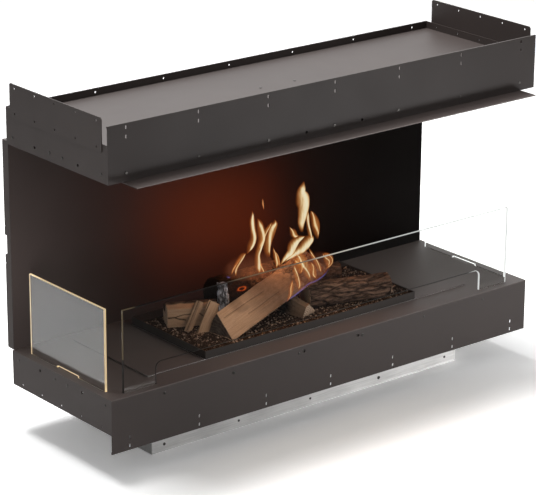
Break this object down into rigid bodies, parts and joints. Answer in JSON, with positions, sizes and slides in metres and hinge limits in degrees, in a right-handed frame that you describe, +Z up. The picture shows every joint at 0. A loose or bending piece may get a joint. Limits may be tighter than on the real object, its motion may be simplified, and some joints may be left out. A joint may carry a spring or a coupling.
{
  "type": "fireplace",
  "caption": "Built-in gas fireplace open at the front and both ends: dark steel hood and hearth, glass wind screens, gravel tray with imitation logs, and a stainless burner box below.",
  "frame": {"origin": "centre of the bounding box at the underside of the burner box", "axes": "+Z up, -Y out of the front opening, +X to the right seen from the front"},
  "size_m": [1.304, 0.475, 0.863],
  "materials": {
    "casing_black": "fine-textured dark powder coat",
    "chamber_black": "matt heat-resistant black paint",
    "dark_screw": "blackened steel",
    "stainless": "brushed stainless sheet",
    "insulation": "pressed fibre board",
    "brass": "turned brass",
    "valve_metal": "cast and shot-blasted",
    "controller": "moulded, fine texture",
    "ceramic": "unglazed ceramic",
    "gravel": "loose dark volcanic stones",
    "log_split": "split face with grain and cracks",
    "log_bark": "rough dark bark",
    "log_charred": "charred, cracked surface",
    "glass": "clear toughened glass with ground edges"
  },
  "bodies": {
    "casing": {"hood_fascia": "casing_black", "hood_side_left": "casing_black", "hood_side_right": "casing_black", "hood_back": "casing_black", "hood_top": "casing_black", "flange_plate_left": "casing_black", "flange_plate_right": "casing_black", "heat_deflector": "casing_black", "back_shell": "casing_black", "hearth_ends": "casing_black", "hearth_strips": "casing_black", "base_fascia": "casing_black", "base_side_left": "casing_black", "base_side_right": "casing_black", "base_back": "casing_black", "hood_ceiling": "chamber_black", "hood_brace": "chamber_black", "back_skin": "chamber_black", "hood_screws": "dark_screw", "back_screws": "dark_screw", "base_screws": "dark_screw", "burner_base_screws": "dark_screw", "deflector_spacers": "stainless", "deflector_screws": "stainless", "deflector_nuts": "stainless", "back_brackets_lower": "stainless", "back_brackets_upper": "stainless", "glass_channels_front": "stainless", "glass_channels_side": "stainless", "burner_box": "stainless", "burner_rim": "stainless", "burner_base": "stainless", "box_partitions": "stainless", "burner_bridges": "stainless", "burner_pipe": "stainless", "flame_sensor": "stainless", "back_insulation": "insulation", "feed_pipe": "brass", "supply_pipe": "brass", "gas_inlet": "brass", "inlet_nut": "brass", "gas_valve": "valve_metal", "control_unit": "controller", "igniter": "ceramic"},
    "glass_front": {"glass_front": "glass"},
    "glass_left": {"glass_left": "glass"},
    "glass_right": {"glass_right": "glass"},
    "cover_left": {"cover_plate_left": "casing_black"},
    "cover_right": {"cover_plate_right": "casing_black"},
    "tray_set": {"burner_tray": "casing_black", "gravel_bed": "gravel", "log_left": "log_split", "log_plank": "log_split", "log_bark": "log_bark", "log_cross": "log_bark", "log_back": "log_charred", "log_back_right": "log_charred", "kindling_left": "log_split", "kindling_split": "log_split", "charred_stick": "log_charred"}
  },
  "joints": [
    {"name": "glass_front_lift", "type": "slide", "parent": "casing", "child": "glass_front", "axis": [0, 0, 1], "range_m": [0, 0.12]},
    {"name": "glass_left_lift", "type": "slide", "parent": "casing", "child": "glass_left", "axis": [0, 0, 1], "range_m": [0, 0.12]},
    {"name": "glass_right_lift", "type": "slide", "parent": "casing", "child": "glass_right", "axis": [0, 0, 1], "range_m": [0, 0.12]},
    {"name": "cover_left_lift", "type": "slide", "parent": "casing", "child": "cover_left", "axis": [0, 0, 1], "range_m": [0, 0.12]},
    {"name": "cover_right_lift", "type": "slide", "parent": "casing", "child": "cover_right", "axis": [0, 0, 1], "range_m": [0, 0.12]},
    {"name": "tray_set_lift", "type": "slide", "parent": "casing", "child": "tray_set", "axis": [0, 0, 1], "range_m": [0, 0.12]}
  ]
}
